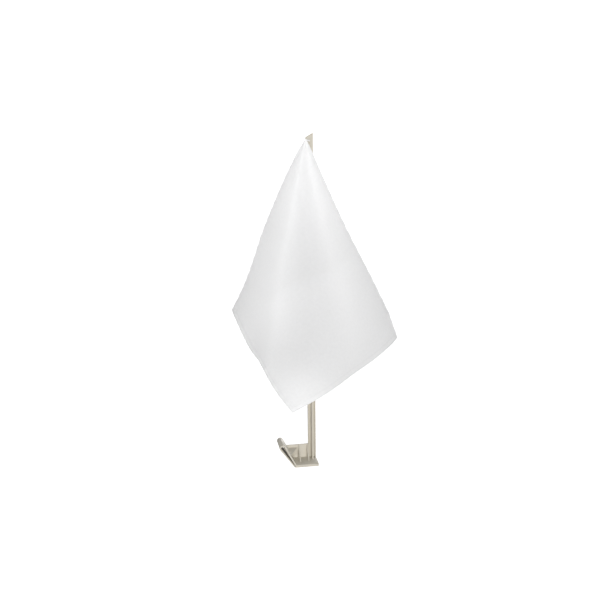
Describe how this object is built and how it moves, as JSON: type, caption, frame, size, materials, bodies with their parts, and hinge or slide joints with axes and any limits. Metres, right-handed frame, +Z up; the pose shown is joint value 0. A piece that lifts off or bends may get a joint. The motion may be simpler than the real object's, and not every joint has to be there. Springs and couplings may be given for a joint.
{
  "type": "clip-on window flag",
  "caption": "Blank flag on a ribbed plastic staff, with a leaning hairpin clip at its foot that drops over the top edge of a window pane.",
  "frame": {"origin": "where the pane's top edge seats: the crest inside the clip's arch, halfway along the clip's depth", "axes": "+X from the clip to the staff, -Y the side the flag hangs on, +Z up the staff"},
  "size_m": [0.1947, 0.1632, 0.44],
  "materials": {
    "moulding": "satin moulded, warm beige",
    "grip_pad": "soft matte",
    "peg": "satin moulded",
    "cloth": "plain white woven polyester",
    "webbing": "white woven tape"
  },
  "bodies": {
    "staff_and_clip": {"clip_body": "moulding", "staff": "moulding", "outer_grip_pad": "grip_pad", "flag_peg": "peg"},
    "spring_leg": {"spring_leg": "moulding"},
    "flag": {"flag_cloth": "cloth", "corner_patch": "cloth", "hanging_loop": "webbing"}
  },
  "joints": [
    {"name": "spring_leg_flex", "type": "hinge", "parent": "staff_and_clip", "child": "spring_leg", "pos_m": [0, 0, 0.002], "axis": [0, 1, 0], "range_deg": [0, 8], "stiffness_Nm_per_rad": 2},
    {"name": "flag_swing", "type": "hinge", "parent": "staff_and_clip", "child": "flag", "pos_m": [0.04016, 0, 0.3973], "axis": [0, 1, 0], "range_deg": [-30, 30]}
  ]
}
